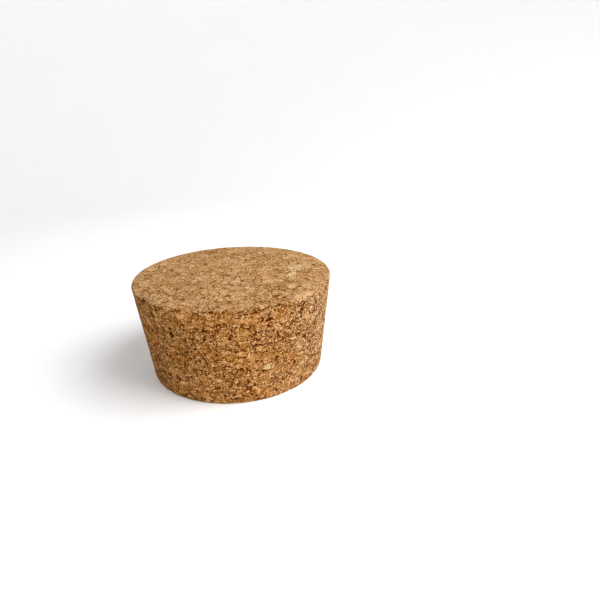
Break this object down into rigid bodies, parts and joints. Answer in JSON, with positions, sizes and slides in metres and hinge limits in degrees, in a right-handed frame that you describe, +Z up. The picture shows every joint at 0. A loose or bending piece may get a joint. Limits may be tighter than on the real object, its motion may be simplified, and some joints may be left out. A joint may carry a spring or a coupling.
{
  "type": "cork stopper",
  "caption": "Solid tapered round stopper of agglomerated cork, wider at the top than at the foot, with flat ends, eased rims and small open voids.",
  "frame": {"origin": "centre of the narrow end, on the surface that the stopper stands on", "axes": "+Z up the stopper's axis, from the narrow end to the wide end; X and Y are any two directions across it"},
  "size_m": [0.0598, 0.0598, 0.0295],
  "materials": {
    "cork": "matt ground cork, fine grained, unsealed"
  },
  "bodies": {
    "root": {"stopper": "cork"}
  },
  "joints": []
}
